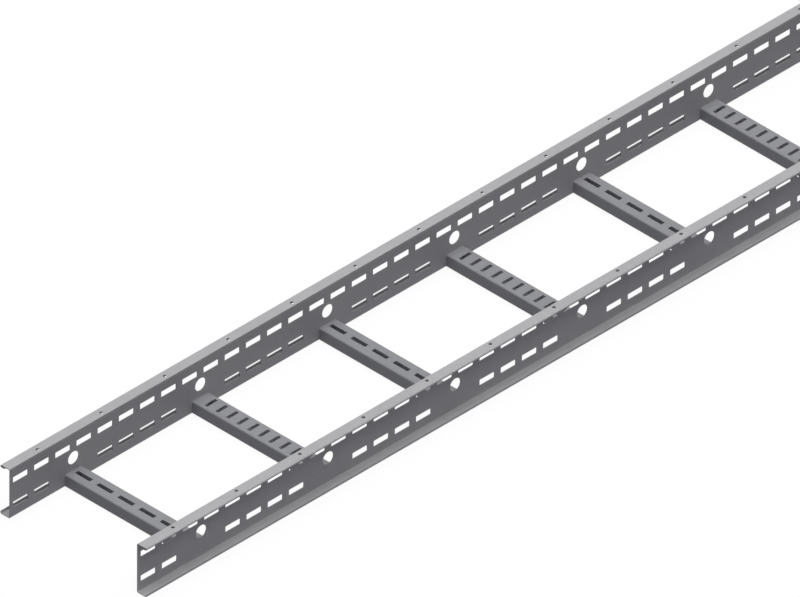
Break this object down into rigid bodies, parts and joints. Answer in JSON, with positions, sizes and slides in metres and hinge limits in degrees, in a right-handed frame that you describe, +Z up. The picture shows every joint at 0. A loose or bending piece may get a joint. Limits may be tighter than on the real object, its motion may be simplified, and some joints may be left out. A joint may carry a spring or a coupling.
{
  "type": "cable ladder section",
  "caption": "Straight cable ladder section: two channel side rails with slotted webs and folded flange edges, joined by slotted channel rungs.",
  "frame": {"origin": "bottom centre of the section: midway along the rails and between them, at the rails' underside", "axes": "+X along the rails, from the end whose first rung has lengthwise slots; +Y across, along the rungs, towards the left rail; +Z up"},
  "size_m": [3, 0.345, 0.1],
  "materials": {
    "galvanised_rail_steel": "satin zinc grey",
    "galvanised_rung_steel": "satin zinc grey, darker than the rails"
  },
  "bodies": {
    "root": {"side_rail_left": "galvanised_rail_steel", "side_rail_right": "galvanised_rail_steel", "rung_01": "galvanised_rung_steel", "rung_02": "galvanised_rung_steel", "rung_03": "galvanised_rung_steel", "rung_04": "galvanised_rung_steel", "rung_05": "galvanised_rung_steel", "rung_06": "galvanised_rung_steel", "rung_07": "galvanised_rung_steel", "rung_08": "galvanised_rung_steel", "rung_09": "galvanised_rung_steel", "rung_10": "galvanised_rung_steel"}
  },
  "joints": []
}
